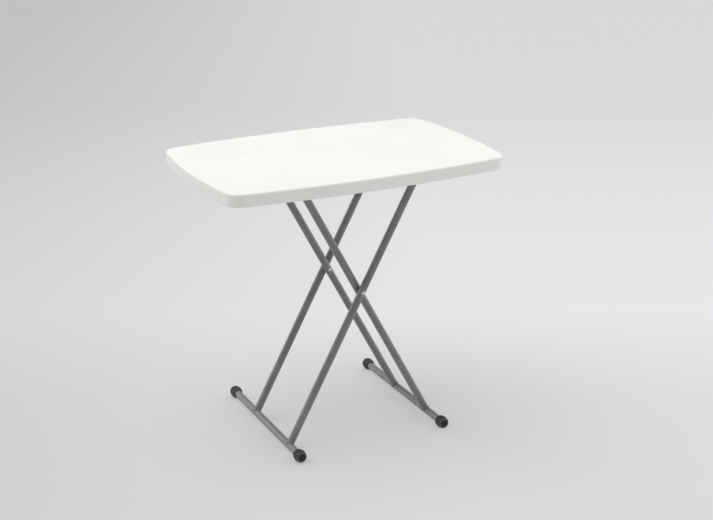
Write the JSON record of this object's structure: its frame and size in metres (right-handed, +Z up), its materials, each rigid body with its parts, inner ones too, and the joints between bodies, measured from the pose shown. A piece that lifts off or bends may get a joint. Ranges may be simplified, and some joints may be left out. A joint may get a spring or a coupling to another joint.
{
  "type": "folding table",
  "caption": "Folding personal table with a bowed white moulded top on two crossed grey tubular leg frames with ribbed black foot caps.",
  "frame": {"origin": "on the floor, under the middle of the top", "axes": "+X along the top, +Y across it towards the rear, +Z up"},
  "size_m": [0.7618, 0.4948, 0.714],
  "materials": {
    "white_top": "satin, finely textured",
    "grey_coated_steel": "satin powder coat",
    "black_plastic": "matt moulded",
    "rivet_steel": "bright",
    "zinc_steel": "zinc plated",
    "screw_steel": "zinc plated",
    "spring_steel": "satin",
    "nylon": "satin natural"
  },
  "bodies": {
    "top": {"table_top": "white_top", "rail_front": "zinc_steel", "rail_rear": "zinc_steel", "fixing_screws": "screw_steel", "height_catch": "spring_steel"},
    "outer_carriage": {"glide_outer_front": "nylon", "glide_outer_rear": "nylon"},
    "outer_frame": {"leg_outer_front": "grey_coated_steel", "leg_outer_rear": "grey_coated_steel", "top_bar_outer": "grey_coated_steel", "foot_bar_outer": "grey_coated_steel", "foot_cap_outer_front": "black_plastic", "foot_cap_outer_rear": "black_plastic", "leg_plugs_outer": "black_plastic", "weld_beads_outer": "grey_coated_steel", "rivet_front": "rivet_steel", "rivet_rear": "rivet_steel", "washer_front": "black_plastic", "washer_rear": "black_plastic"},
    "inner_frame": {"leg_inner_front": "grey_coated_steel", "leg_inner_rear": "grey_coated_steel", "top_bar_inner": "grey_coated_steel", "foot_bar_inner": "grey_coated_steel", "foot_cap_inner_front": "black_plastic", "foot_cap_inner_rear": "black_plastic", "leg_plugs_inner": "black_plastic", "weld_beads_inner": "grey_coated_steel"},
    "inner_carriage": {"glide_inner_front": "nylon", "glide_inner_rear": "nylon"}
  },
  "joints": [
    {"name": "outer_glide", "type": "slide", "parent": "top", "child": "outer_carriage", "axis": [1, 0, 0], "range_m": [0, 0.17893]},
    {"name": "leg_fold", "type": "hinge", "parent": "outer_carriage", "child": "outer_frame", "pos_m": [0.15654, -0.039, 0.672], "axis": [0, 1, 0], "range_deg": [0, 59.6], "deforming": ["height_catch"]},
    {"name": "leg_cross", "type": "hinge", "parent": "outer_frame", "child": "inner_frame", "pos_m": [0.0045, -0.039, 0.3908], "axis": [0, 1, 0], "range_deg": [-120.2, 1]},
    {"name": "inner_glide_turn", "type": "hinge", "parent": "inner_frame", "child": "inner_carriage", "pos_m": [-0.14754, -0.039, 0.672], "axis": [0, 1, 0], "range_deg": [-1, 60.6]}
  ],
  "couplings": [
    {"joint": "outer_glide", "follows": "leg_fold", "m_per_rad": 0.17153},
    {"joint": "leg_cross", "follows": "leg_fold", "ratio": -2},
    {"joint": "inner_glide_turn", "follows": "leg_fold", "ratio": 1}
  ]
}
